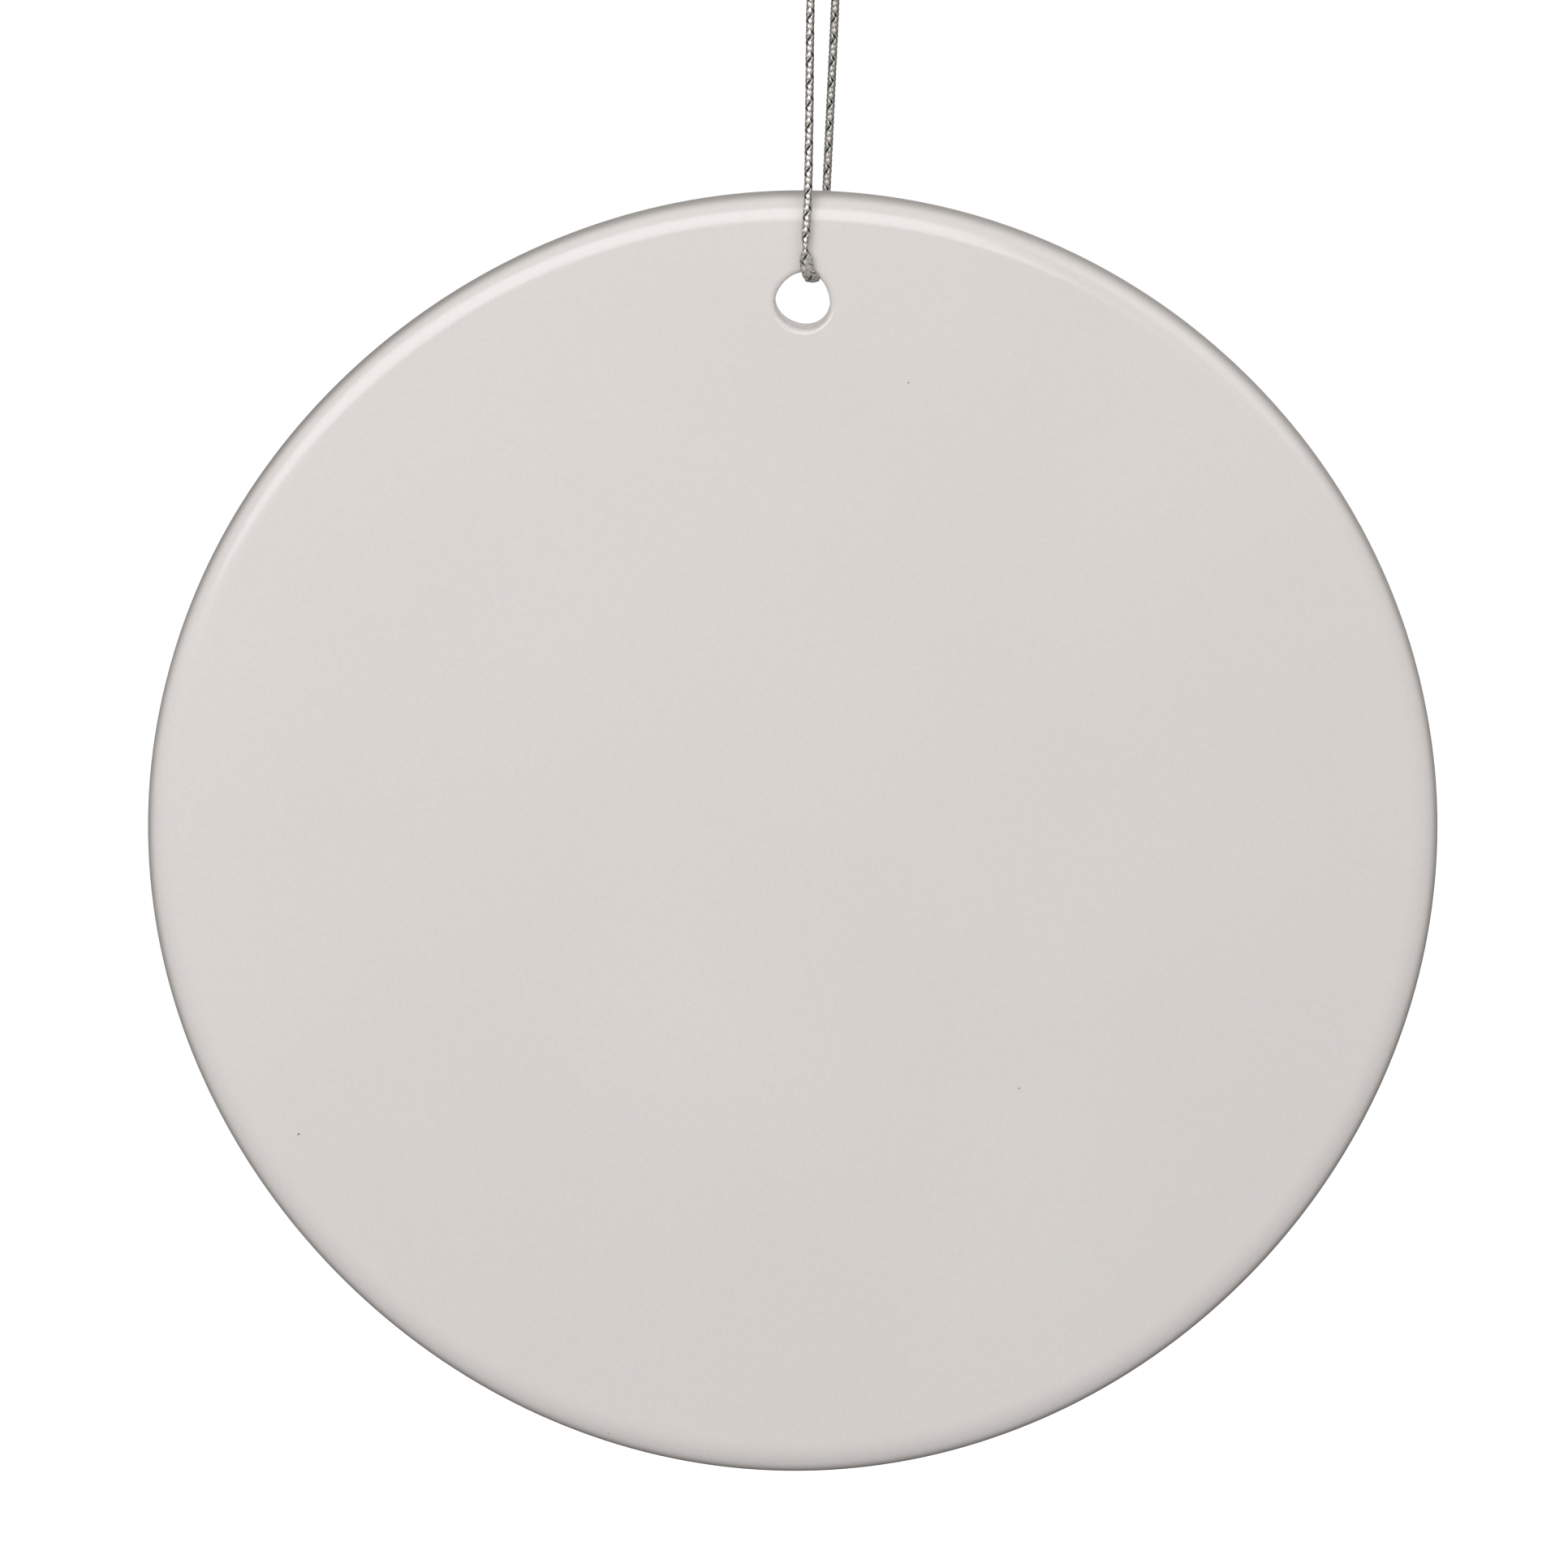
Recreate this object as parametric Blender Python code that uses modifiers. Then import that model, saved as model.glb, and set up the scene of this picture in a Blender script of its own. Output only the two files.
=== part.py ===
"""A round ornament of glazed porcelain, hanging in a knotted loop of thin braided metallic cord.

Everything is in metres with +Z up. The origin is the point that the loop hangs from, right under
its knot. The ornament's front faces -Y. One cord runs from the knot down in front of the disc, back
through the hole, and up behind the disc to the knot, which leaves its two ends standing out as short tails.
"""

import math

import bpy
import numpy as np

MM = 0.001

# The porcelain disc
DISC_RADIUS = 36.5 * MM
DISC_THICKNESS = 3.2 * MM
DISC_EDGE_RADIUS = 1.5 * MM
HOLE_RADIUS = 1.6 * MM
HOLE_EDGE_RADIUS = 0.3 * MM
HOLE_BELOW_TOP = 6.1 * MM
HANG_TURN = math.radians(1.0)  # the cord bears beside the hole's top, so the disc hangs a degree round

# The cord
CORD_DIAMETER = 0.5 * MM
KNOT_TO_DISC = 45.0 * MM  # from the hanging point down to the disc's top edge
CORD_TO_HOLE = 0.16 * MM  # clearance between the cord and the wall of the hole
SEAT_X = 0.05 * MM  # where the cord crosses the hole, just right of straight under the knot
KNOT_RADII = (1.25 * MM, 0.95 * MM, 1.35 * MM)
KNOT_CENTRE_Z = 1.5 * MM

# Where the cord's solids end, measured down from the hanging point
NECK = (0.25 * MM, 2.7 * MM)
UPPER_STRANDS = (3.0 * MM, 24.0 * MM)
LOWER_TOP = 24.3 * MM
STRAND_SPACING = 1.4 * MM
BEND_SPACING = 0.4 * MM
BEND_RADIUS = 1.0 * MM  # of the cord round the edges of the hole

DISC_STEPS = 128
HOLE_STEPS = 48
EDGE_ARC_STEPS = 8
HOLE_ARC_STEPS = 3

DISC_CENTRE_Z = -(KNOT_TO_DISC + DISC_RADIUS)
HOLE_FROM_CENTRE = DISC_RADIUS - HOLE_BELOW_TOP
HOLE_X = -HOLE_FROM_CENTRE * math.sin(HANG_TURN)
HOLE_Z = DISC_CENTRE_Z + HOLE_FROM_CENTRE * math.cos(HANG_TURN)
SEAT_FROM_HOLE = HOLE_RADIUS - CORD_TO_HOLE - CORD_DIAMETER / 2
SEAT_Z = HOLE_Z + math.sqrt(SEAT_FROM_HOLE**2 - (SEAT_X - HOLE_X) ** 2)
STRAND_Y = 2.1 * MM  # the strands' distance from the disc's middle plane, beside its faces

COLLECTION = "souvenir_ornament"


def clear_scene():
    for obj in list(bpy.data.objects):
        bpy.data.objects.remove(obj, do_unlink=True)


def new_collection(name):
    collection = bpy.data.collections.new(name)
    bpy.context.scene.collection.children.link(collection)
    return collection


def material(name, colour, roughness, metallic):
    made = bpy.data.materials.new(name)
    made.use_nodes = True
    shader = made.node_tree.nodes["Principled BSDF"]
    shader.inputs["Base Color"].default_value = (*colour, 1.0)
    shader.inputs["Roughness"].default_value = roughness
    shader.inputs["Metallic"].default_value = metallic
    made.diffuse_color = (*colour, 1.0)
    return made


def arc(centre, radius, first_deg, last_deg, steps):
    """Points along an arc, as (across, up) pairs."""
    angles = np.radians(np.linspace(first_deg, last_deg, steps + 1))
    return [(centre[0] + radius * math.cos(a), centre[1] + radius * math.sin(a)) for a in angles]


def joint_axis(name, place, parent, collection):
    """An empty on a joint's axis, which what turns on that joint hangs from."""
    empty = bpy.data.objects.new(name, None)
    empty.empty_display_size = 4.0 * MM
    collection.objects.link(empty)
    empty.parent = parent
    empty.location = [a - b for a, b in zip(place, world_place(parent))]
    return empty


def world_place(obj):
    place = np.zeros(3)
    while obj is not None:
        place += np.array(obj.location)
        obj = obj.parent
    return place


# ---------------------------------------------------------------- the disc


def disc_profile():
    """The disc's outer side from its top face to its bottom one, as (radius, height) pairs."""
    half = DISC_THICKNESS / 2
    inner = DISC_RADIUS - DISC_EDGE_RADIUS
    centre_up = half - DISC_EDGE_RADIUS
    upper = arc((inner, centre_up), DISC_EDGE_RADIUS, 90, 0, EDGE_ARC_STEPS)
    lower = arc((inner, -centre_up), DISC_EDGE_RADIUS, 0, -90, EDGE_ARC_STEPS)
    return [(0.0, half), *upper, *lower, (0.0, -half)]


def hole_profile():
    """The outer side of a bar of the hole's shape, which flares where the hole's edges are eased."""
    half = DISC_THICKNESS / 2
    wide = HOLE_RADIUS + HOLE_EDGE_RADIUS
    centre_up = half - HOLE_EDGE_RADIUS
    upper = arc((wide, centre_up), HOLE_EDGE_RADIUS, 90, 180, HOLE_ARC_STEPS)
    lower = arc((wide, -centre_up), HOLE_EDGE_RADIUS, 180, 270, HOLE_ARC_STEPS)
    ends = DISC_THICKNESS
    return [(0.0, ends), (wide, ends), *upper, *lower, (wide, -ends), (0.0, -ends)]


def turned(name, profile, steps, collection):
    """A solid turned about its own Z axis from a profile that runs down its outer side."""
    mesh = bpy.data.meshes.new(name)
    points = [(r, 0.0, z) for r, z in profile]
    mesh.from_pydata(points, [(i, i + 1) for i in range(len(points) - 1)], [])
    obj = bpy.data.objects.new(name, mesh)
    collection.objects.link(obj)
    screw = obj.modifiers.new("turn", "SCREW")
    screw.steps = steps
    screw.render_steps = steps
    screw.use_merge_vertices = True
    screw.merge_threshold = 0.001 * MM
    return obj


def hole_cutter(collection):
    """A round bar along Y through the hole's place, longer than the disc is thick."""
    cutter = turned("hole_cutter", hole_profile(), HOLE_STEPS, collection)
    cutter.location = (HOLE_X, 0.0, HOLE_Z)
    cutter.rotation_euler = (math.radians(90), 0.0, 0.0)
    cutter.hide_render = True
    cutter.display_type = "WIRE"
    return cutter


def build_disc(collection, cutters, rock_axis):
    """The disc lies across Y. Its own origin stays at its centre, and it hangs from the rocking axis."""
    disc = turned("porcelain_disc", disc_profile(), DISC_STEPS, collection)
    disc.rotation_euler = (math.radians(90), -HANG_TURN, 0.0)
    disc.parent = rock_axis
    disc.location = [a - b for a, b in zip((0.0, 0.0, DISC_CENTRE_Z), world_place(rock_axis))]
    cut = disc.modifiers.new("hole", "BOOLEAN")
    cut.operation = "DIFFERENCE"
    cut.object = hole_cutter(cutters)
    disc.data.materials.append(material("glazed_porcelain", (0.80, 0.78, 0.76), 0.12, 0.0))
    disc.data.shade_smooth()
    return disc


# ---------------------------------------------------------------- the cord


def round_the_hole_edge(side, degrees, x):
    """A point on the cord's bend round the hole's edge: side -1 is the front, 0 degrees beside the face."""
    turn = math.radians(degrees)
    y = STRAND_Y - BEND_RADIUS * (1 - math.cos(turn))
    return (x, side * y, SEAT_Z + BEND_RADIUS * (1 - math.sin(turn)))


def loop_route():
    """The cord's route from the knot down the front, through the hole and up the back to the knot."""
    front_strand = [
        (-0.27, 0.00, 0.0),
        (-0.40, -0.25, -6.0),
        (-0.56, -0.54, -13.0),
        (-0.69, -0.84, -20.0),
        (-0.74, -1.16, -27.5),
        (-0.70, -1.46, -34.5),
        (-0.55, -1.73, -40.5),
        (-0.46, -1.95, -45.0),
        (-0.48, -2.03, -46.5),
        (-0.51, -2.06, -48.0),
    ]
    hole_passage = [
        round_the_hole_edge(-1, 0, -0.40 * MM),
        round_the_hole_edge(-1, 30, -0.26 * MM),
        round_the_hole_edge(-1, 60, -0.06 * MM),
        round_the_hole_edge(-1, 90, 0.03 * MM),
        (SEAT_X, -0.4 * MM, SEAT_Z),
        (SEAT_X, 0.4 * MM, SEAT_Z),
        round_the_hole_edge(1, 90, 0.06 * MM),
        round_the_hole_edge(1, 60, 0.13 * MM),
        round_the_hole_edge(1, 30, 0.32 * MM),
        round_the_hole_edge(1, 0, 0.50 * MM),
    ]
    back_strand = [
        (0.54, 2.06, -48.0),
        (0.56, 2.03, -46.5),
        (0.58, 1.95, -45.0),
        (0.63, 1.73, -40.5),
        (0.69, 1.46, -34.5),
        (0.71, 1.16, -27.5),
        (0.66, 0.84, -20.0),
        (0.54, 0.54, -13.0),
        (0.40, 0.25, -6.0),
        (0.27, 0.00, 0.0),
    ]
    return in_metres(front_strand) + hole_passage + in_metres(back_strand)


def tail_route(side):
    """A cut end of the cord from the top of the knot, which leans out and droops: side -1 is the front one."""
    front_tail = [
        (-0.27, -0.10, 3.15),
        (-0.68, -0.28, 4.50),
        (-1.55, -0.50, 5.85),
        (-2.85, -0.75, 6.70),
        (-4.35, -0.95, 6.80),
        (-5.70, -1.10, 6.15),
    ]
    back_tail = [
        (0.27, 0.10, 3.15),
        (0.62, 0.30, 4.65),
        (1.35, 0.62, 6.20),
        (2.55, 0.95, 7.20),
        (4.00, 1.25, 7.40),
        (5.25, 1.45, 6.75),
    ]
    return in_metres(front_tail if side < 0 else back_tail)


def in_metres(points):
    return [tuple(c * MM for c in p) for p in points]


def smooth_line(points, steps=24):
    """A close line of points on the smooth curve through the given ones: a centripetal Catmull-Rom spline."""
    p = np.array(points)
    p = np.vstack([2 * p[0] - p[1], p, 2 * p[-1] - p[-2]])
    knots = np.concatenate([[0.0], np.cumsum(np.linalg.norm(np.diff(p, axis=0), axis=1) ** 0.5)])
    line = []
    for i in range(1, len(p) - 2):
        t0, t1, t2, t3 = knots[i - 1 : i + 3]
        for t in np.linspace(t1, t2, steps, endpoint=False):
            a1 = ((t1 - t) * p[i - 1] + (t - t0) * p[i]) / (t1 - t0)
            a2 = ((t2 - t) * p[i] + (t - t1) * p[i + 1]) / (t2 - t1)
            a3 = ((t3 - t) * p[i + 1] + (t - t2) * p[i + 2]) / (t3 - t2)
            b1 = ((t2 - t) * a1 + (t - t0) * a2) / (t2 - t0)
            b2 = ((t3 - t) * a2 + (t - t1) * a3) / (t3 - t1)
            line.append(((t2 - t) * b1 + (t - t1) * b2) / (t2 - t1))
    line.append(p[-2])
    return np.array(line)


def spaced(line):
    """The line again with points a few diameters apart, and closer together where it rounds the hole."""
    steps = np.linalg.norm(np.diff(line, axis=0), axis=1)
    beside_hole = line[:-1, 2] < SEAT_Z + 2 * BEND_RADIUS
    count_along = np.cumsum(steps / np.where(beside_hole, BEND_SPACING, STRAND_SPACING))
    count_along = np.concatenate([[0.0], count_along])
    at = np.linspace(0.0, count_along[-1], max(4, round(count_along[-1]) + 1))
    return np.stack([np.interp(at, count_along, line[:, k]) for k in range(3)], axis=1)


def tube(name, line, parent, look, collection):
    """A round length of cord along a line, with closed ends and its origin where its parent is."""
    curve = bpy.data.curves.new(name, "CURVE")
    curve.dimensions = "3D"
    curve.bevel_depth = CORD_DIAMETER / 2
    curve.bevel_resolution = 2
    curve.use_fill_caps = True
    spline = curve.splines.new("POLY")
    spline.points.add(len(line) - 1)
    base = world_place(parent)
    for point, place in zip(spline.points, line):
        point.co = (*(place - base), 1.0)
    spline.use_smooth = True
    curve.materials.append(look)
    obj = bpy.data.objects.new(name, curve)
    collection.objects.link(obj)
    obj.parent = parent
    return obj


def between(strand, top, bottom):
    """The part of a strand from top to bottom, both measured down from the hanging point."""
    down = -strand[:, 2]
    order = np.argsort(down)
    ends = [[np.interp(d, down[order], strand[order, k]) for k in range(3)] for d in (top, bottom)]
    if down[0] > down[-1]:
        ends.reverse()
    inside = strand[(down > top) & (down < bottom)]
    return np.vstack([ends[0], inside, ends[1]])


def build_knot(look, collection):
    """The outer shape of the overhand knot in the doubled cord."""
    bpy.ops.mesh.primitive_uv_sphere_add(segments=20, ring_count=12, radius=1.0)
    knot = bpy.context.object
    knot.name = "cord_knot"
    for other in list(knot.users_collection):
        other.objects.unlink(knot)
    collection.objects.link(knot)
    for vertex in knot.data.vertices:
        vertex.co = [c * r for c, r in zip(vertex.co, KNOT_RADII)]
        vertex.co.z += KNOT_CENTRE_Z
    knot.data.shade_smooth()
    knot.data.materials.append(look)


def build_cord(axes, look, collection):
    build_knot(look, collection)
    tube("cord_tail_front", spaced(smooth_line(tail_route(-1))), None, look, collection)
    tube("cord_tail_back", spaced(smooth_line(tail_route(1))), None, look, collection)
    line = smooth_line(loop_route())
    for side, strand in (("front", line[line[:, 1] < 0]), ("back", line[line[:, 1] > 0])):
        strand = strand[strand[:, 2] > SEAT_Z + BEND_RADIUS]
        neck = spaced(between(strand, *NECK))
        tube(f"cord_neck_{side}", neck, axes["side"], look, collection)
        upper = spaced(between(strand, *UPPER_STRANDS))
        tube(f"cord_upper_{side}", upper, axes["fore_aft"], look, collection)
    lower = spaced(line[line[:, 2] <= -LOWER_TOP])
    tube("cord_lower", lower, axes["twist"], look, collection)


def main():
    clear_scene()
    collection = new_collection(COLLECTION)
    cutters = new_collection("cutters")
    axes = {}
    axes["side"] = joint_axis("side_swing_axis", (0.0, 0.0, 0.0), None, collection)
    axes["fore_aft"] = joint_axis("fore_aft_swing_axis", (0.0, 0.0, 0.0), axes["side"], collection)
    twist_place = (0.0, 0.0, -(UPPER_STRANDS[1] + LOWER_TOP) / 2)
    axes["twist"] = joint_axis("loop_twist_axis", twist_place, axes["fore_aft"], collection)
    axes["rock"] = joint_axis("disc_rock_axis", (SEAT_X, 0.0, SEAT_Z), axes["twist"], collection)
    cord_look = material("silver_braid", (0.72, 0.71, 0.70), 0.32, 0.85)
    build_cord(axes, cord_look, collection)
    build_disc(collection, cutters, axes["rock"])


main()
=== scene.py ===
"""The looks of a round porcelain ornament that hangs in a knotted loop of braided metallic cord.

Everything is in metres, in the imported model's frame: +Z up, the ornament's front towards -Y, and the
origin at the point that the loop hangs from, right under its knot.
"""

import math

import bpy
import numpy as np
from mathutils import Matrix, Vector


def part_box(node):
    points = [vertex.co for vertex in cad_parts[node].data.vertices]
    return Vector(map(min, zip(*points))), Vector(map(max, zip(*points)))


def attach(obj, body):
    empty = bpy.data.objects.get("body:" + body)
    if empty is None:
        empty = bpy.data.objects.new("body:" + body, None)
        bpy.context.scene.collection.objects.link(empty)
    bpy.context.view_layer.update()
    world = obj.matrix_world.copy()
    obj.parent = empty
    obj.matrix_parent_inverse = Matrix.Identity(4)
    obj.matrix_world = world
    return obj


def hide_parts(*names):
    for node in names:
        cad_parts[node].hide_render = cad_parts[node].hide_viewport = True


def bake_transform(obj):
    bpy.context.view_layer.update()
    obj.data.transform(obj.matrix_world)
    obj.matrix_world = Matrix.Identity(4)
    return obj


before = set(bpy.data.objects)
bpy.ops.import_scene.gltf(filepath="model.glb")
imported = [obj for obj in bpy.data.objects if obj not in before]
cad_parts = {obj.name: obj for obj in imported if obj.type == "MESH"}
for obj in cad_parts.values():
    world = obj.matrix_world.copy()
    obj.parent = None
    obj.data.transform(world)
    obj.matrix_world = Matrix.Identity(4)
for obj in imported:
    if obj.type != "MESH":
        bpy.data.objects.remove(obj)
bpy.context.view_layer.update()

MM = 0.001

# The disc, as the frame has it
disc_low, disc_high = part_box("porcelain_disc")
DISC_CENTRE = (disc_low + disc_high) / 2
DISC_RADIUS = (disc_high.x - disc_low.x) / 2
DISC_HALF = (disc_high.y - disc_low.y) / 2
HANG_TURN = math.radians(1.0)
HOLE_RADIUS = 1.6 * MM
HOLE_EASING = 0.30 * MM
HOLE_FROM_CENTRE = DISC_RADIUS - 6.1 * MM
HOLE_X = DISC_CENTRE.x - HOLE_FROM_CENTRE * math.sin(HANG_TURN)
HOLE_Z = DISC_CENTRE.z + HOLE_FROM_CENTRE * math.cos(HANG_TURN)

# The disc's edge is rounded off slowly towards the face and quickly towards the side. The side is painted
# darker as shade, and its glaze is duller there
RIM_WIDTH = 1.6 * MM
RIM_DEPTH = 0.85 * MM
THIN_GLAZE_AND_PAINTED_SHADE_WIDTH = 0.40 * MM

# The rim and the hole are a little out of round, in waves: each one's crests, height in millimetres, and
# angle to a crest in degrees. One with no crests moves the whole edge. These numbers were fitted to the
# photo's outline by a program and then rounded, not chosen by hand. With () for both, the edges are round.
RIM_WAVES = ((1, 0.13, -75), (2, 0.05, 45), (3, 0.12, 45), (4, 0.12, 0))
HOLE_WAVES = ((0, -0.03, 0), (1, 0.06, -75), (2, 0.04, -75), (3, 0.06, -45))
WAVE_FADE = 8  # power by which the waves die away from the edge
DISC_SEGMENTS = 288
FACE_RINGS = 44
RIM_RINGS = 12

# The cord
CORD_DIAMETER = 0.5 * MM
CORD_RADIUS = CORD_DIAMETER / 2
CORD_TO_HOLE = 0.16 * MM
SEAT_X = 0.05 * MM
SEAT_FROM_HOLE = HOLE_RADIUS - CORD_TO_HOLE - CORD_RADIUS
SEAT_Z = HOLE_Z + math.sqrt(SEAT_FROM_HOLE**2 - (SEAT_X - HOLE_X) ** 2)
STRAND_Y = 2.1 * MM
BEND_RADIUS = 1.0 * MM

# Its braid: eight flat strands, four each way round, over a thin core
BRAID_PITCH = 2.48 * MM
STRANDS_EACH_WAY = 4
STRAND_HALF_WIDTH = 0.125 * MM
STRAND_HALF_DEPTH = 0.042 * MM
STRAND_LIFT = 0.036 * MM
UNEVEN_TURNS = ((0.0, 0.29), (0.20, -0.20))  # radians by which each way's strands lie off their even places
FRONT_BRAID_TURN = math.radians(82)
BACK_BRAID_TURN = math.radians(22)
CORE_RADIUS = 0.12 * MM
STRAND_SIDES = 8
STRAND_ROUNDNESS = 0.6  # 1 is an ellipse, and less is flatter on its crown
RING_STEP = 0.085 * MM

# Its overhand knot, tied in both sides of the loop together: a wide loose one is drawn tight
KNOT_TOP_Z = 3.15 * MM
KNOT_BEADS = 90
KNOT_LOOSE_SCALE = 0.72 * MM
KNOT_TIGHTENING_ROUNDS = 390
KNOT_SHRINK = 0.9972  # what is left of the beads' spacing after each round
KNOT_TIGHT_SPACING = 0.104 * MM
KNOT_CLOSENESS = 0.90  # of a diameter, between the middles of cords that press on each other
KNOT_SWELLING_ROUNDS = 150  # rounds in which the cords grow to their full thickness
KNOT_NEIGHBOURS = 1.3  # diameters along a cord within which it doesn't press on itself
SETTLING_STEPS = 6  # in each round
END_PULL = 0.05
STRETCH_SHARE = 0.25
PRESS_SHARE = 0.3
BEND_SHARE = 0.25
FRAY_LENGTH = 1.3 * MM
FRAY_SPREAD = 1.1
FRAY_THINNING = 0.45

# Where it rounds the edge of the hole it is pressed flat against the wall, under a pinched neck in front
FLAT_HALF_WIDTH = 0.42 * MM
FLAT_HALF_DEPTH = 0.18 * MM
FLAT_TO_WALL = 0.12 * MM
FLAT_TOP_Z = -48.0 * MM
FLAT_FULL_Z = -49.2 * MM
NECK_Z = -48.1 * MM
NECK_REACH = 0.40 * MM
NECK_HALF_WIDTH = 0.155 * MM
SEAT_HALF_WIDTH = 0.34 * MM
SEAT_HALF_DEPTH = 0.21 * MM

# The picture
CAMERA_DISTANCE = 1.2
CAMERA_ELEVATION = math.radians(7.5)
CAMERA_ROLL = math.radians(2.04)
PICTURE_WIDTH = 89.1 * MM
PICTURE_CENTRE = (-0.54 * MM, 2.55 * MM)  # from the disc's centre, across and up in the picture
FLOOR_Z = disc_low.z - 0.12


def smooth(x):
    """0 below 0, 1 above 1, and a smooth step between."""
    x = np.clip(x, 0.0, 1.0)
    return x * x * (3 - 2 * x)


def unit(v):
    return v / np.maximum(np.linalg.norm(v, axis=-1, keepdims=True), 1e-12)


# ---------------------------------------------------------------- camera


def add_camera():
    """Looks at the disc's front from a little above, with the picture turned a little."""
    back = Vector((0, -math.cos(CAMERA_ELEVATION), math.sin(CAMERA_ELEVATION)))
    level_up = Vector((0, math.sin(CAMERA_ELEVATION), math.cos(CAMERA_ELEVATION)))
    level_right = Vector((1, 0, 0))
    up = math.cos(CAMERA_ROLL) * level_up - math.sin(CAMERA_ROLL) * level_right
    right = math.cos(CAMERA_ROLL) * level_right + math.sin(CAMERA_ROLL) * level_up
    target = DISC_CENTRE + PICTURE_CENTRE[0] * right + PICTURE_CENTRE[1] * up
    camera = bpy.data.objects.new("camera", bpy.data.cameras.new("camera"))
    bpy.context.scene.collection.objects.link(camera)
    axes = Matrix((right, up, back)).transposed().to_4x4()
    camera.matrix_world = Matrix.Translation(target + CAMERA_DISTANCE * back) @ axes
    camera.data.lens = camera.data.sensor_width * CAMERA_DISTANCE / PICTURE_WIDTH
    camera.data.clip_start = 0.01
    bpy.context.scene.camera = camera


# ---------------------------------------------------------------- the cord's route


def round_the_hole_edge(side, degrees, x):
    """A point on the cord's bend round the hole's edge: side -1 is the front, 0 degrees beside the face."""
    turn = math.radians(degrees)
    y = STRAND_Y - BEND_RADIUS * (1 - math.cos(turn))
    return (x, side * y, SEAT_Z + BEND_RADIUS * (1 - math.sin(turn)))


def loop_route():
    """The cord's route from the knot down the front, through the hole and up the back to the knot."""
    front_strand = [
        (-0.27, 0.00, 0.0),
        (-0.40, -0.25, -6.0),
        (-0.56, -0.54, -13.0),
        (-0.69, -0.84, -20.0),
        (-0.74, -1.16, -27.5),
        (-0.70, -1.46, -34.5),
        (-0.55, -1.73, -40.5),
        (-0.46, -1.95, -45.0),
        (-0.48, -2.03, -46.5),
        (-0.51, -2.06, -48.0),
    ]
    hole_passage = [
        round_the_hole_edge(-1, 0, -0.40 * MM),
        round_the_hole_edge(-1, 30, -0.26 * MM),
        round_the_hole_edge(-1, 60, -0.06 * MM),
        round_the_hole_edge(-1, 90, 0.03 * MM),
        (SEAT_X, -0.4 * MM, SEAT_Z),
        (SEAT_X, 0.4 * MM, SEAT_Z),
        round_the_hole_edge(1, 90, 0.06 * MM),
        round_the_hole_edge(1, 60, 0.13 * MM),
        round_the_hole_edge(1, 30, 0.32 * MM),
        round_the_hole_edge(1, 0, 0.50 * MM),
    ]
    back_strand = [
        (0.54, 2.06, -48.0),
        (0.56, 2.03, -46.5),
        (0.58, 1.95, -45.0),
        (0.63, 1.73, -40.5),
        (0.69, 1.46, -34.5),
        (0.71, 1.16, -27.5),
        (0.66, 0.84, -20.0),
        (0.54, 0.54, -13.0),
        (0.40, 0.25, -6.0),
        (0.27, 0.00, 0.0),
    ]
    return in_metres(front_strand) + hole_passage + in_metres(back_strand)


def tail_route(side):
    """A cut end of the cord from the knot's top, which leans out and droops: side -1 is the front one."""
    front_tail = [
        (-0.27, -0.10, 3.15),
        (-0.68, -0.28, 4.50),
        (-1.55, -0.50, 5.85),
        (-2.85, -0.75, 6.70),
        (-4.35, -0.95, 6.80),
        (-5.70, -1.10, 6.15),
    ]
    back_tail = [
        (0.27, 0.10, 3.15),
        (0.62, 0.30, 4.65),
        (1.35, 0.62, 6.20),
        (2.55, 0.95, 7.20),
        (4.00, 1.25, 7.40),
        (5.25, 1.45, 6.75),
    ]
    return in_metres(front_tail if side < 0 else back_tail)


def in_metres(points):
    return [tuple(c * MM for c in p) for p in points]


def smooth_line(points, steps=24):
    """A close line of points on the smooth curve through the given ones: a centripetal Catmull-Rom spline."""
    p = np.array(points)
    p = np.vstack([2 * p[0] - p[1], p, 2 * p[-1] - p[-2]])
    knots = np.concatenate([[0.0], np.cumsum(np.linalg.norm(np.diff(p, axis=0), axis=1) ** 0.5)])
    line = []
    for i in range(1, len(p) - 2):
        t0, t1, t2, t3 = knots[i - 1 : i + 3]
        for t in np.linspace(t1, t2, steps, endpoint=False):
            a1 = ((t1 - t) * p[i - 1] + (t - t0) * p[i]) / (t1 - t0)
            a2 = ((t2 - t) * p[i] + (t - t1) * p[i + 1]) / (t2 - t1)
            a3 = ((t3 - t) * p[i + 1] + (t - t2) * p[i + 2]) / (t3 - t2)
            b1 = ((t2 - t) * a1 + (t - t0) * a2) / (t2 - t0)
            b2 = ((t3 - t) * a2 + (t - t1) * a3) / (t3 - t1)
            line.append(((t2 - t) * b1 + (t - t1) * b2) / (t2 - t1))
    line.append(p[-2])
    return np.array(line)


def lengths(line):
    """How far along the line each of its points is."""
    return np.concatenate([[0.0], np.cumsum(np.linalg.norm(np.diff(line, axis=0), axis=1))])


def spaced(line, step):
    """The line again, with its points about a step apart."""
    along = lengths(line)
    at = np.linspace(0.0, along[-1], max(4, round(along[-1] / step) + 1))
    return np.stack([np.interp(at, along, line[:, k]) for k in range(3)], axis=1)


# ---------------------------------------------------------------- the cord's braid


def across_and_out(line, out):
    """Unit axes beside a line: one across it, and one that points as near to out as a right angle allows."""
    along = unit(np.gradient(line, axis=0))
    out = unit(out - (out * along).sum(1, keepdims=True) * along)
    return np.cross(along, out), out


def carried_axes(line, out):
    """Such axes carried along a line without turning about it, from the given first direction."""
    along = unit(np.gradient(line, axis=0))
    outs = [unit(out - (out @ along[0]) * along[0])]
    for direction in along[1:]:
        outs.append(unit(outs[-1] - (outs[-1] @ direction) * direction))
    outs = np.array(outs)
    return np.cross(along, outs), outs


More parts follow.
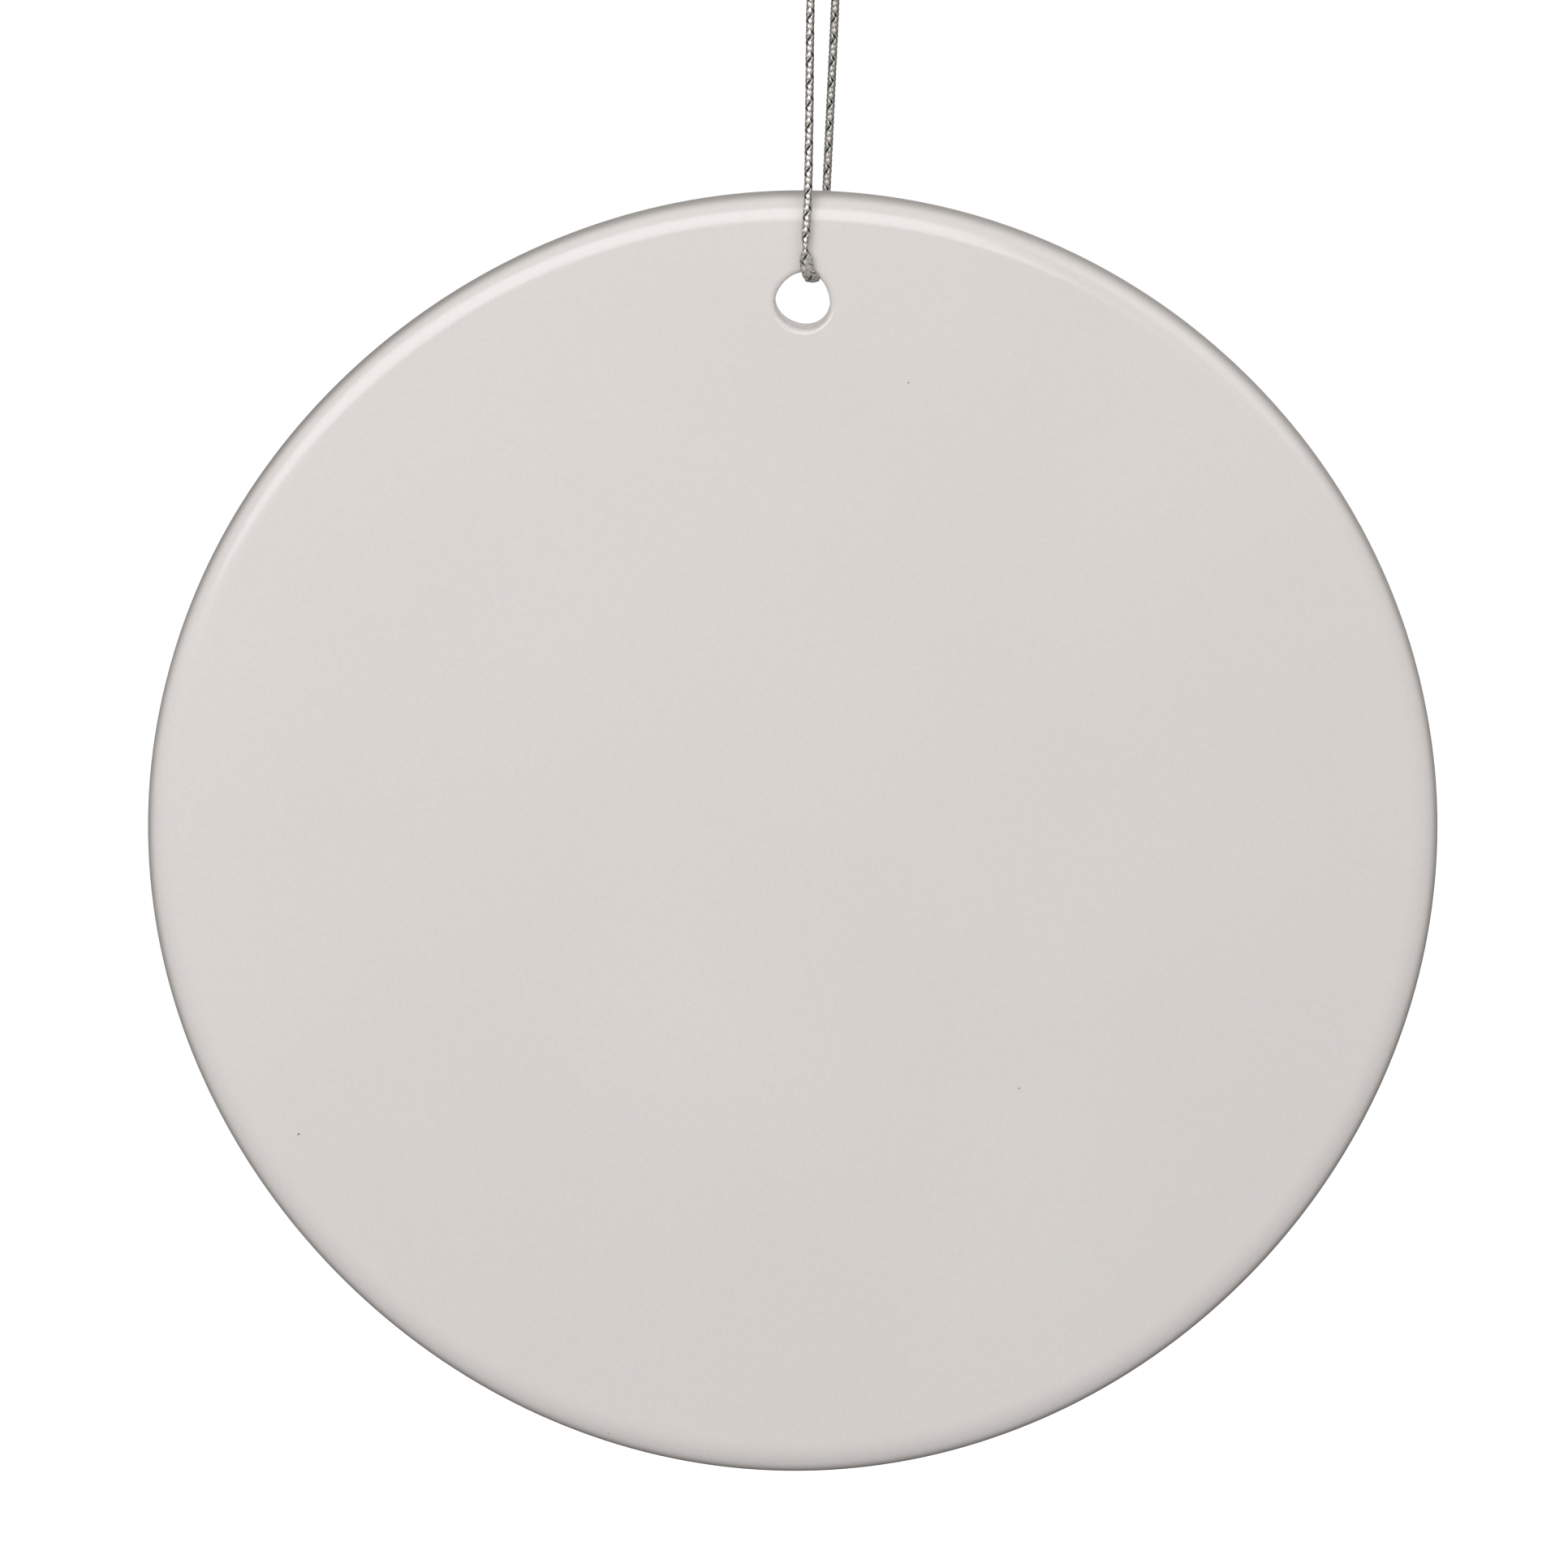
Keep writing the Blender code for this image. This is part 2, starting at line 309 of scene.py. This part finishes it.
def braid(name, runs):
    """A mesh of braided cords. Each run is a dict that says how one cord lies and is shaped along a line."""
    points, faces, uvs, depths, pressed = [], [], [], [], []
    for run in runs:
        for strand in range(2 * STRANDS_EACH_WAY + 1):
            ring_points, ring_depths, along = strand_rings(run, strand)
            first = sum(len(p) for p in points)
            points.append(ring_points.reshape(-1, 3))
            depths.append(ring_depths.ravel())
            pressed.append(np.repeat(run["pressed"], STRAND_SIDES))
            count = len(ring_points)
            faces += tube_faces(first, count, STRAND_SIDES)
            uvs += tube_uvs(along, count, STRAND_SIDES, strand)
    mesh = bpy.data.meshes.new(name)
    mesh.from_pydata(np.vstack(points).tolist(), [], faces)
    layer = mesh.uv_layers.new(name="along_the_cord")
    layer.data.foreach_set("uv", np.array(uvs, np.float32).ravel())
    for attribute, values in (("depth", depths), ("pressed", pressed)):
        layer = mesh.attributes.new(attribute, "FLOAT", "POINT")
        layer.data.foreach_set("value", np.concatenate(values).astype(np.float32))
    mesh.shade_smooth()
    obj = bpy.data.objects.new(mesh.name, mesh)
    bpy.context.scene.collection.objects.link(obj)
    return obj


def strand_rings(run, strand):
    """One strand's rings of points, how deep each point lies in the cord, and its rings' places along it.

    The strand after the last one is the core.
    """
    line, across, out = run["line"], run["across"], run["out"]
    wide, deep = run["half_width"] / CORD_RADIUS, run["half_depth"] / CORD_RADIUS
    along = lengths(line)
    if strand == 2 * STRANDS_EACH_WAY:
        centre, sideways, outward = line, across, out
        half_width, half_depth = CORE_RADIUS * wide * run["taper"], CORE_RADIUS * deep * run["taper"]
    else:
        way = 1 if strand < STRANDS_EACH_WAY else -1
        crossing = 2 * math.pi * along / BRAID_PITCH
        evenly = 2 * math.pi * strand / STRANDS_EACH_WAY
        uneven = UNEVEN_TURNS[strand // STRANDS_EACH_WAY][strand % 2]
        angle = way * (crossing + uneven) + evenly + run["turn"]
        lift = way * STRAND_LIFT * np.cos(STRANDS_EACH_WAY * crossing)
        reach = (CORD_RADIUS - STRAND_HALF_DEPTH - STRAND_LIFT + lift) * run["spread"]
        cos, sin = np.cos(angle)[:, None], np.sin(angle)[:, None]
        centre = line + across * (wide * reach)[:, None] * cos + out * (deep * reach)[:, None] * sin
        direction = unit(np.gradient(centre, axis=0))
        outward = unit(across * deep[:, None] * cos + out * wide[:, None] * sin)
        sideways = unit(np.cross(direction, outward))
        outward = np.cross(sideways, direction)
        half_width = STRAND_HALF_WIDTH * wide**0.8 * run["taper"]
        half_depth = STRAND_HALF_DEPTH * deep * run["taper"]
    round_it = (np.arange(STRAND_SIDES) + 0.5) * 2 * math.pi / STRAND_SIDES
    rings = centre[:, None] + (
        sideways[:, None] * (half_width[:, None] * flattened(np.cos(round_it)))[:, :, None]
        + outward[:, None] * (half_depth[:, None] * flattened(np.sin(round_it)))[:, :, None]
    )
    from_line = rings - line[:, None]
    in_width = (from_line * across[:, None]).sum(2) / run["half_width"][:, None]
    in_depth = (from_line * out[:, None]).sum(2) / run["half_depth"][:, None]
    depths = 1.0 - np.hypot(in_width, in_depth)
    return rings, depths, along


def flattened(x):
    """Sines or cosines changed so that an ellipse made with them gets a flatter crown and sides."""
    return np.sign(x) * np.abs(x) ** STRAND_ROUNDNESS


def tube_faces(first, count, sides):
    """A tube's quads between its rings, and a face over each end."""
    faces = []
    for i in range(count - 1):
        for j in range(sides):
            k = (j + 1) % sides
            a, b = first + i * sides, first + (i + 1) * sides
            faces.append((a + j, b + j, b + k, a + k))
    faces.append(tuple(range(first, first + sides)))
    last = first + (count - 1) * sides
    faces.append(tuple(reversed(range(last, last + sides))))
    return faces


def tube_uvs(along, count, sides, strand):
    """For each corner of those faces: its place round the strand, and along it in millimetres."""
    uvs = []
    for i in range(count - 1):
        for j in range(sides):
            u0, u1 = strand + j / sides, strand + (j + 1) / sides
            v0, v1 = along[i] / MM, along[i + 1] / MM
            uvs += [(u0, v0), (u0, v1), (u1, v1), (u1, v0)]
    uvs += [(strand, along[0] / MM)] * sides + [(strand, along[-1] / MM)] * sides
    return uvs


def whole_round(line, across, out, turn=0.0):
    """A run of round braided cord along a line."""
    ones = np.ones(len(line))
    return {
        "line": line,
        "across": across,
        "out": out,
        "half_width": CORD_RADIUS * ones,
        "half_depth": CORD_RADIUS * ones,
        "turn": turn * ones,
        "spread": ones,
        "taper": ones,
        "pressed": 0 * ones,
    }


# ---------------------------------------------------------------- the knot


def loose_knot():
    """The middle line of a wide open overhand knot that runs from below up, as evenly spaced beads."""
    t = np.linspace(0.55, 2 * math.pi - 0.55, 200)
    across = (2 + np.cos(3 * t)) * np.cos(2 * t) - 1.0
    down = (2 + np.cos(3 * t)) * np.sin(2 * t)
    turns = np.stack([across, 1.3 * np.sin(3 * t), -down], axis=1) * KNOT_LOOSE_SCALE
    turns[:, 2] += KNOT_TOP_Z / 2
    below, above = (0.2 * MM, 0.0, -2.6 * MM), (0.2 * MM, 0.0, 5.6 * MM)
    line = np.vstack([below, turns, above])
    along = lengths(line)
    at = np.linspace(0.0, along[-1], KNOT_BEADS)
    return np.stack([np.interp(at, along, line[:, k]) for k in range(3)], axis=1)


def tied_knot(low_ends, high_ends):
    """Both cords of the knot, drawn tight between their ends: strings of beads that press on each other."""
    middle = loose_knot()
    side = unit(np.cross(unit(np.gradient(middle, axis=0)), np.array([0.0, 1.0, 0.0])))
    cords = np.stack([middle + side * CORD_RADIUS, middle - side * CORD_RADIUS])
    string, bead = np.divmod(np.arange(2 * KNOT_BEADS), KNOT_BEADS)
    apart = np.abs(bead[:, None] - bead[None])
    spacing = lengths(cords[0])[-1] / (KNOT_BEADS - 1)
    for count in range(KNOT_TIGHTENING_ROUNDS):
        spacing = max(spacing * KNOT_SHRINK, KNOT_TIGHT_SPACING)
        cords[:, 0] += (low_ends - cords[:, 0]) * END_PULL
        cords[:, -1] += (high_ends - cords[:, -1]) * END_PULL
        can_touch = (string[:, None] != string[None]) | (apart * spacing > KNOT_NEIGHBOURS * CORD_DIAMETER)
        closest = KNOT_CLOSENESS * CORD_DIAMETER * min(1.0, count / KNOT_SWELLING_ROUNDS)
        for _ in range(SETTLING_STEPS):
            step = cords[:, 1:] - cords[:, :-1]
            stretch = STRETCH_SHARE * step * (1 - spacing / np.linalg.norm(step, axis=2, keepdims=True))
            cords[:, 1:-1] += stretch[:, 1:] - stretch[:, :-1]
            beads = cords.reshape(-1, 3)
            gap = beads[:, None] - beads[None]
            distance = np.sqrt((gap**2).sum(2)) + 1e-12
            push = np.where(can_touch, np.clip(closest - distance, 0, None), 0) / distance
            cords[:, 1:-1] += PRESS_SHARE * (gap * push[:, :, None]).sum(1).reshape(cords.shape)[:, 1:-1]
        bend = (cords[:, 2:] + cords[:, :-2]) / 2 - cords[:, 1:-1]
        cords[:, 1:-1] += BEND_SHARE * bend
    cords[:, 0], cords[:, -1] = low_ends, high_ends
    return cords


def make_knot_and_tails():
    """The knot in both sides of the loop, and the two frayed ends of the cord that stand out of its top."""
    loop_ends = np.array([loop_route()[0], loop_route()[-1]])
    tails = [smooth_line(tail_route(side)) for side in (-1, 1)]
    runs = []
    for cord, tail in zip(tied_knot(loop_ends, np.array([tail[0] for tail in tails])), tails):
        line = spaced(np.vstack([cord, tail[1:]]), RING_STEP)
        for _ in range(6):
            line[1:-1] = (line[:-2] + 2 * line[1:-1] + line[2:]) / 4
        across, out = carried_axes(line, np.array([0.0, -1.0, 0.0]))
        run = whole_round(line, across, out)
        along = lengths(line)
        frayed = smooth((along - along[-1] + FRAY_LENGTH) / FRAY_LENGTH)
        run["spread"] = 1.0 + FRAY_SPREAD * frayed
        run["taper"] = 1.0 - FRAY_THINNING * frayed
        runs.append(run)
    return braid("cord_knot_and_tails", runs)


# ---------------------------------------------------------------- the loop of cord


def away_from_wall(line):
    """At each point of the loop, the direction away from what it presses on: a face, then the hole's top."""
    towards_wall = unit(np.array([-0.12, 0.0, 1.0]))
    bent = (STRAND_Y - np.abs(line[:, 1])) / BEND_RADIUS
    turn = np.arccos(np.clip(1 - bent, 0.0, 1.0))
    turn = np.where(line[:, 2] < SEAT_Z + BEND_RADIUS, turn, 0.0)[:, None]
    side = np.where(line[:, 1] < 0, -1.0, 1.0)[:, None]
    return np.cos(turn) * side * np.array([0.0, 1.0, 0.0]) - np.sin(turn) * towards_wall


def make_loop():
    """The loop from the knot through the hole and back, and the centreline it was laid on."""
    line = spaced(smooth_line(loop_route()), RING_STEP)
    across, out = across_and_out(line, away_from_wall(line))
    flat = smooth((FLAT_TOP_Z - line[:, 2]) / (FLAT_TOP_Z - FLAT_FULL_Z))
    run = whole_round(line - FLAT_TO_WALL * flat[:, None] * out, across, out)
    seated = smooth((DISC_HALF - np.abs(line[:, 1])) / (0.4 * DISC_HALF)) * flat
    flat_width = FLAT_HALF_WIDTH + (SEAT_HALF_WIDTH - FLAT_HALF_WIDTH) * seated
    flat_depth = FLAT_HALF_DEPTH + (SEAT_HALF_DEPTH - FLAT_HALF_DEPTH) * seated
    neck = np.where(line[:, 1] < 0, np.exp(-(((line[:, 2] - NECK_Z) / NECK_REACH) ** 2)), 0.0)
    round_width = CORD_RADIUS + (NECK_HALF_WIDTH - CORD_RADIUS) * neck
    run["half_width"] = round_width + (flat_width - round_width) * flat
    run["half_depth"] = CORD_RADIUS + (flat_depth - CORD_RADIUS) * flat
    run["pressed"] = flat
    run["turn"] = np.where(line[:, 1] > 0, BACK_BRAID_TURN, FRONT_BRAID_TURN)
    return braid("cord_loop", [run]), line


# ---------------------------------------------------------------- the disc


def disc_rings():
    """The disc's rings, from the hole's front edge round: each one's centre (x, z), radius and y."""
    hole, middle = (HOLE_X, HOLE_Z), (DISC_CENTRE.x, DISC_CENTRE.z)
    front = []
    for turn in np.radians(np.linspace(0, 90, 5)):
        radius = HOLE_RADIUS + HOLE_EASING * (1 - math.cos(turn))
        front.append((hole, radius, -DISC_HALF + HOLE_EASING * (1 - math.sin(turn))))
    eased, inner = HOLE_RADIUS + HOLE_EASING, DISC_RADIUS - RIM_WIDTH
    for t in smooth(np.linspace(0, 1, FACE_RINGS + 1))[1:]:
        centre = tuple(h + (m - h) * t for h, m in zip(hole, middle))
        front.append((centre, eased + (inner - eased) * t, -DISC_HALF))
    for turn in np.radians(np.linspace(0, 90, RIM_RINGS + 1))[1:]:
        y = -DISC_HALF + RIM_DEPTH * (1 - math.cos(turn))
        front.append((middle, inner + RIM_WIDTH * math.sin(turn), y))
    side = [(middle, DISC_RADIUS, y) for y in np.linspace(RIM_DEPTH - DISC_HALF, 0, 4)[1:-1]]
    back = [(centre, radius, -y) for centre, radius, y in reversed(front)]
    wall_end = DISC_HALF - HOLE_EASING
    wall = [(hole, HOLE_RADIUS, y) for y in np.linspace(wall_end, -wall_end, 8)[1:-1]]
    return front + side + [(c, r, -y) for c, r, y in reversed(side)] + back + wall


def thin_glaze_and_painted_shade(radius):
    """1 on the disc's side, which is painted darker as shade and has a duller glaze, and 0 on its faces and
    the hole's wall.
    """
    return float(1.0 - smooth((DISC_RADIUS - radius) / THIN_GLAZE_AND_PAINTED_SHADE_WIDTH))


def push_out_of_round(points, centre, radius, waves):
    """Makes the disc wavy in its plane at a radius from a centre, and less and less away from there."""
    from_centre = points[:, :, ::2] - np.array(centre)
    distance = np.maximum(np.linalg.norm(from_centre, axis=2), 1e-9)
    angle = np.arctan2(from_centre[:, :, 1], from_centre[:, :, 0])
    height = sum(size * MM * np.cos(crests * (angle - math.radians(turn))) for crests, size, turn in waves)
    nearness = np.minimum(distance / radius, radius / distance) ** WAVE_FADE
    points[:, :, ::2] += from_centre * (height * nearness / distance)[:, :, None]


def make_disc():
    rings = disc_rings()
    angles = np.linspace(0, 2 * math.pi, DISC_SEGMENTS, endpoint=False)
    points = np.zeros((len(rings), DISC_SEGMENTS, 3))
    for ring, (centre, radius, y) in zip(points, rings):
        ring[:, 0] = centre[0] + radius * np.cos(angles)
        ring[:, 1] = y
        ring[:, 2] = centre[1] + radius * np.sin(angles)
    push_out_of_round(points, (DISC_CENTRE.x, DISC_CENTRE.z), DISC_RADIUS, RIM_WAVES)
    push_out_of_round(points, (HOLE_X, HOLE_Z), HOLE_RADIUS, HOLE_WAVES)
    mesh = bpy.data.meshes.new("porcelain_blank")
    count, faces = len(rings), []
    for i in range(count):
        for j in range(DISC_SEGMENTS):
            k, n = (j + 1) % DISC_SEGMENTS, (i + 1) % count
            a, b = i * DISC_SEGMENTS, n * DISC_SEGMENTS
            faces.append((a + j, a + k, b + k, b + j))
    mesh.from_pydata(points.reshape(-1, 3).tolist(), [], faces)
    # 1 on the disc's side: there painted shade greys the colour and the glaze is duller
    thin_and_shaded = np.concatenate([np.full(DISC_SEGMENTS, thin_glaze_and_painted_shade(radius)) for _, radius, _ in rings])
    mesh.attributes.new("thin_glaze_and_painted_shade", "FLOAT", "POINT").data.foreach_set("value", thin_and_shaded.astype(np.float32))
    mesh.shade_smooth()
    disc = bpy.data.objects.new("porcelain_blank", mesh)
    bpy.context.scene.collection.objects.link(disc)
    return disc


# ---------------------------------------------------------------- materials


def new_material(name):
    made = bpy.data.materials.new(name)
    made.use_nodes = True
    return made, made.node_tree, made.node_tree.nodes["Principled BSDF"]


def noise(tree, place, scale, detail=2.0):
    node = tree.nodes.new("ShaderNodeTexNoise")
    node.inputs["Scale"].default_value = scale
    node.inputs["Detail"].default_value = detail
    tree.links.new(place, node.inputs["Vector"])
    return node.outputs["Fac"]


def ramp(tree, value, low, high, low_to, high_to):
    """The value's range from low to high, spread over the range from low_to to high_to."""
    node = tree.nodes.new("ShaderNodeMapRange")
    tree.links.new(value, node.inputs["Value"])
    node.inputs["From Min"].default_value = low
    node.inputs["From Max"].default_value = high
    node.inputs["To Min"].default_value = low_to
    node.inputs["To Max"].default_value = high_to
    return node.outputs["Result"]


def blend_colours(tree, share, first, second):
    """Between two colours, each of which is a socket or a colour."""
    node = tree.nodes.new("ShaderNodeMix")
    node.data_type = "RGBA"
    tree.links.new(share, node.inputs["Factor"])
    for name, colour in (("A", first), ("B", second)):
        socket = next(s for s in node.inputs if s.name == name and s.type == "RGBA")
        if isinstance(colour, tuple):
            socket.default_value = (*colour, 1.0)
        else:
            tree.links.new(colour, socket)
    return next(s for s in node.outputs if s.type == "RGBA")


def math_node(tree, operation, first, second):
    node = tree.nodes.new("ShaderNodeMath")
    node.operation = operation
    for socket, value in zip(node.inputs, (first, second)):
        if isinstance(value, (int, float)):
            socket.default_value = value
        else:
            tree.links.new(value, socket)
    return node.outputs["Value"]


def bump(tree, height, strength, distance):
    node = tree.nodes.new("ShaderNodeBump")
    node.inputs["Strength"].default_value = strength
    node.inputs["Distance"].default_value = distance
    tree.links.new(height, node.inputs["Height"])
    return node.outputs["Normal"]


SPECKS = (  # dark pinpricks in the glaze: across and up from the disc's centre, and radius
    (-9.3 * MM, -34.9 * MM, 0.11 * MM),
    (-27.5 * MM, -18.3 * MM, 0.08 * MM),
    (5.6 * MM, 25.9 * MM, 0.06 * MM),
    (13.35 * MM, -14.2 * MM, 0.06 * MM),
)


def glazed_porcelain():
    """Warm white porcelain under a clear glaze, with faint clouds, fine grain and dark pinpricks.

    It is duller on the side, where the glaze runs thinner, and painted greyer there as shade.
    """
    made, tree, shader = new_material("glazed_porcelain")
    place = tree.nodes.new("ShaderNodeTexCoord").outputs["Object"]
    cloud = noise(tree, place, 45.0)
    grain = noise(tree, place, 5200.0, 3.0)
    share = ramp(tree, cloud, 0.3, 0.7, 0, 1)
    colour = blend_colours(tree, share, (0.800, 0.765, 0.745), (0.815, 0.785, 0.765))
    colour = blend_colours(tree, ramp(tree, grain, 0.30, 0.75, 0.0, 0.16), colour, (0.62, 0.59, 0.57))
    for across, up, radius in SPECKS:
        distance = tree.nodes.new("ShaderNodeVectorMath")
        distance.operation = "DISTANCE"
        tree.links.new(place, distance.inputs[0])
        in_rim = max(0.0, math.hypot(across, up) - DISC_RADIUS + RIM_WIDTH) / RIM_WIDTH
        y = -DISC_HALF + RIM_DEPTH * (1 - math.sqrt(1 - in_rim**2))
        distance.inputs[1].default_value = (DISC_CENTRE.x + across, y, DISC_CENTRE.z + up)
        near = ramp(tree, distance.outputs["Value"], 0.6 * radius, radius, 0.75, 0.0)
        colour = blend_colours(tree, near, colour, (0.10, 0.09, 0.08))
    thin_and_shaded = tree.nodes.new("ShaderNodeAttribute")
    thin_and_shaded.attribute_name = "thin_glaze_and_painted_shade"
    # Painted shade: the side is blended up to 80% towards dark grey
    colour = blend_colours(tree, ramp(tree, thin_and_shaded.outputs["Fac"], 0, 1, 0, 0.8), colour, (0.42, 0.40, 0.38))
    tree.links.new(colour, shader.inputs["Base Color"])
    polish = ramp(tree, cloud, 0.3, 0.7, 0.13, 0.18)
    dull = ramp(tree, thin_and_shaded.outputs["Fac"], 0, 1, 0, 0.45)
    tree.links.new(math_node(tree, "ADD", polish, dull), shader.inputs["Roughness"])
    tree.links.new(ramp(tree, thin_and_shaded.outputs["Fac"], 0, 1, 0.5, 0.1), shader.inputs["Specular IOR Level"])
    peel = math_node(tree, "ADD", noise(tree, place, 520.0), math_node(tree, "MULTIPLY", grain, 0.15))
    tree.links.new(bump(tree, peel, 0.10, 0.02 * MM), shader.inputs["Normal"])
    shader.inputs["IOR"].default_value = 1.47
    return made


def silver_braid():
    """Strands of metallized film, with painted shade: near black where they dive deep under each other.

    They are crumpled, duller and browner where the cord is pressed flat.
    """
    made, tree, shader = new_material("silver_braid")
    uv = tree.nodes.new("ShaderNodeUVMap")
    uv.uv_map = "along_the_cord"
    stretch = tree.nodes.new("ShaderNodeVectorMath")
    stretch.operation = "MULTIPLY"
    tree.links.new(uv.outputs["UV"], stretch.inputs[0])
    stretch.inputs[1].default_value = (12.0, 2.0, 1.0)
    filaments = noise(tree, stretch.outputs["Vector"], 1.0, 2.0)
    crinkle = noise(tree, uv.outputs["UV"], 9.0, 2.0)
    depth = tree.nodes.new("ShaderNodeAttribute")
    depth.attribute_name = "depth"
    pressed_part = tree.nodes.new("ShaderNodeAttribute")
    pressed_part.attribute_name = "pressed"
    pressed = pressed_part.outputs["Fac"]
    share = ramp(tree, filaments, 0.3, 0.7, 0, 1)
    colour = blend_colours(tree, share, (0.63, 0.61, 0.58), (0.84, 0.815, 0.785))
    place = tree.nodes.new("ShaderNodeTexCoord").outputs["Object"]
    crumples = ramp(tree, noise(tree, place, 15000.0, 3.0), 0.35, 0.65, 0.15, 1.0)
    crushed = math_node(tree, "MULTIPLY", crumples, pressed)
    colour = blend_colours(tree, crushed, colour, (0.36, 0.335, 0.31))
    # Painted shade: near black deep inside the cord, where the strands dive under each other
    painted_shade_deep = ramp(tree, depth.outputs["Fac"], 0.05, 0.20, 0.0, 1.0)
    colour = blend_colours(tree, painted_shade_deep, colour, (0.05, 0.05, 0.04))
    tree.links.new(colour, shader.inputs["Base Color"])
    tree.links.new(ramp(tree, pressed, 0.0, 1.0, 1.0, 0.35), shader.inputs["Metallic"])
    polish = ramp(tree, crinkle, 0.3, 0.7, 0.34, 0.46)
    wear = math_node(tree, "MULTIPLY", pressed, 0.18)
    tree.links.new(math_node(tree, "ADD", polish, wear), shader.inputs["Roughness"])
    tree.links.new(bump(tree, filaments, 0.25, 0.02 * MM), shader.inputs["Normal"])
    return made


# ---------------------------------------------------------------- surroundings


def softbox(name, across, up, distance, size, radiance):
    """A rectangular light that faces the disc: across and up are degrees from straight in front of it."""
    a, e = math.radians(across), math.radians(up)
    direction = Vector((math.sin(a) * math.cos(e), -math.cos(a) * math.cos(e), math.sin(e)))
    light = bpy.data.lights.new(name, "AREA")
    light.shape = "RECTANGLE"
    light.size, light.size_y = size
    light.energy = radiance * math.pi * size[0] * size[1]
    lamp = bpy.data.objects.new(name, light)
    lamp.location = DISC_CENTRE + distance * direction
    lamp.rotation_mode = "QUATERNION"
    lamp.rotation_quaternion = (-direction).to_track_quat("-Z", "Y")
    lamp.visible_camera = False
    bpy.context.scene.collection.objects.link(lamp)


def add_world():
    """White to the camera. As light, it is bright in front and behind, and dark at the sides and below."""
    world = bpy.data.worlds.new("studio")
    bpy.context.scene.world = world
    world.use_nodes = True
    tree = world.node_tree
    tree.nodes.clear()
    output = tree.nodes.new("ShaderNodeOutputWorld")
    mix = tree.nodes.new("ShaderNodeMixShader")
    lit, seen = tree.nodes.new("ShaderNodeBackground"), tree.nodes.new("ShaderNodeBackground")
    seen.inputs["Color"].default_value = (1, 1, 1, 1)
    seen.inputs["Strength"].default_value = 1.05
    direction = tree.nodes.new("ShaderNodeSeparateXYZ")
    tree.links.new(tree.nodes.new("ShaderNodeTexCoord").outputs["Generated"], direction.inputs[0])
    levels = tree.nodes.new("ShaderNodeValToRGB")
    tree.links.new(ramp(tree, direction.outputs["Y"], -1, 1, 0, 1), levels.inputs["Fac"])
    stops = ((0.00, 0.56), (0.26, 0.56), (0.36, 0.14), (0.76, 0.14), (0.88, 0.58), (1.00, 0.58))
    elements = levels.color_ramp.elements
    while len(elements) < len(stops):
        elements.new(0.5)
    for element, (place, level) in zip(elements, stops):
        element.position = place
        element.color = (level, level * 0.975, level * 0.955, 1)
    tree.links.new(levels.outputs["Color"], lit.inputs["Color"])
    tree.links.new(ramp(tree, direction.outputs["Z"], -0.7, 0.1, 0.45, 1.0), lit.inputs["Strength"])
    camera_ray = tree.nodes.new("ShaderNodeLightPath").outputs["Is Camera Ray"]
    tree.links.new(camera_ray, mix.inputs[0])
    tree.links.new(lit.outputs[0], mix.inputs[1])
    tree.links.new(seen.outputs[0], mix.inputs[2])
    tree.links.new(mix.outputs[0], output.inputs["Surface"])


def add_floor():
    """A plain white floor, well below the hanging ornament. Its underside doesn't show."""
    bpy.ops.mesh.primitive_circle_add(vertices=96, radius=6.0, fill_type="NGON", location=(0, 0, FLOOR_Z))
    floor = bpy.context.object
    floor.name = "floor"
    made, tree, shader = new_material("white_floor")
    shader.inputs["Base Color"].default_value = (0.9, 0.9, 0.9, 1)
    shader.inputs["Roughness"].default_value = 0.9
    shader.inputs["Emission Color"].default_value = (1, 1, 1, 1)
    shader.inputs["Emission Strength"].default_value = 0.8
    clear = tree.nodes.new("ShaderNodeBsdfTransparent")
    mix = tree.nodes.new("ShaderNodeMixShader")
    under = tree.nodes.new("ShaderNodeNewGeometry").outputs["Backfacing"]
    tree.links.new(under, mix.inputs[0])
    tree.links.new(shader.outputs[0], mix.inputs[1])
    tree.links.new(clear.outputs[0], mix.inputs[2])
    tree.links.new(mix.outputs[0], tree.nodes["Material Output"].inputs["Surface"])
    floor.data.materials.append(made)
    floor.visible_diffuse = False
    floor.visible_glossy = False
    floor.visible_shadow = False


# ---------------------------------------------------------------- putting it together


def main():
    bpy.context.scene.view_settings.view_transform = "Standard"
    add_camera()
    add_world()
    add_floor()
    softbox("key", -16, 20, 0.34, (0.29, 0.165), 3.75)
    softbox("fill", 35, 30, 0.80, (0.36, 0.36), 1.5)
    softbox("back_left", -140, -20, 0.80, (0.36, 0.36), 0.9)
    softbox("back_right", 140, 50, 0.80, (0.50, 0.50), 2.4)

    braid_look = silver_braid()
    loop, loop_line = make_loop()
    loop.data.materials.append(braid_look)
    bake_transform(loop)
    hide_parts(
        "cord_neck_front", "cord_neck_back", "cord_upper_front", "cord_upper_back", "cord_lower"
    )

    knot = make_knot_and_tails()
    knot.data.materials.append(braid_look)
    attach(knot, "knotted_end")
    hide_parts("cord_knot", "cord_tail_front", "cord_tail_back")

    disc = make_disc()
    disc.data.materials.append(glazed_porcelain())
    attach(disc, "ornament")
    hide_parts("porcelain_disc")


main()
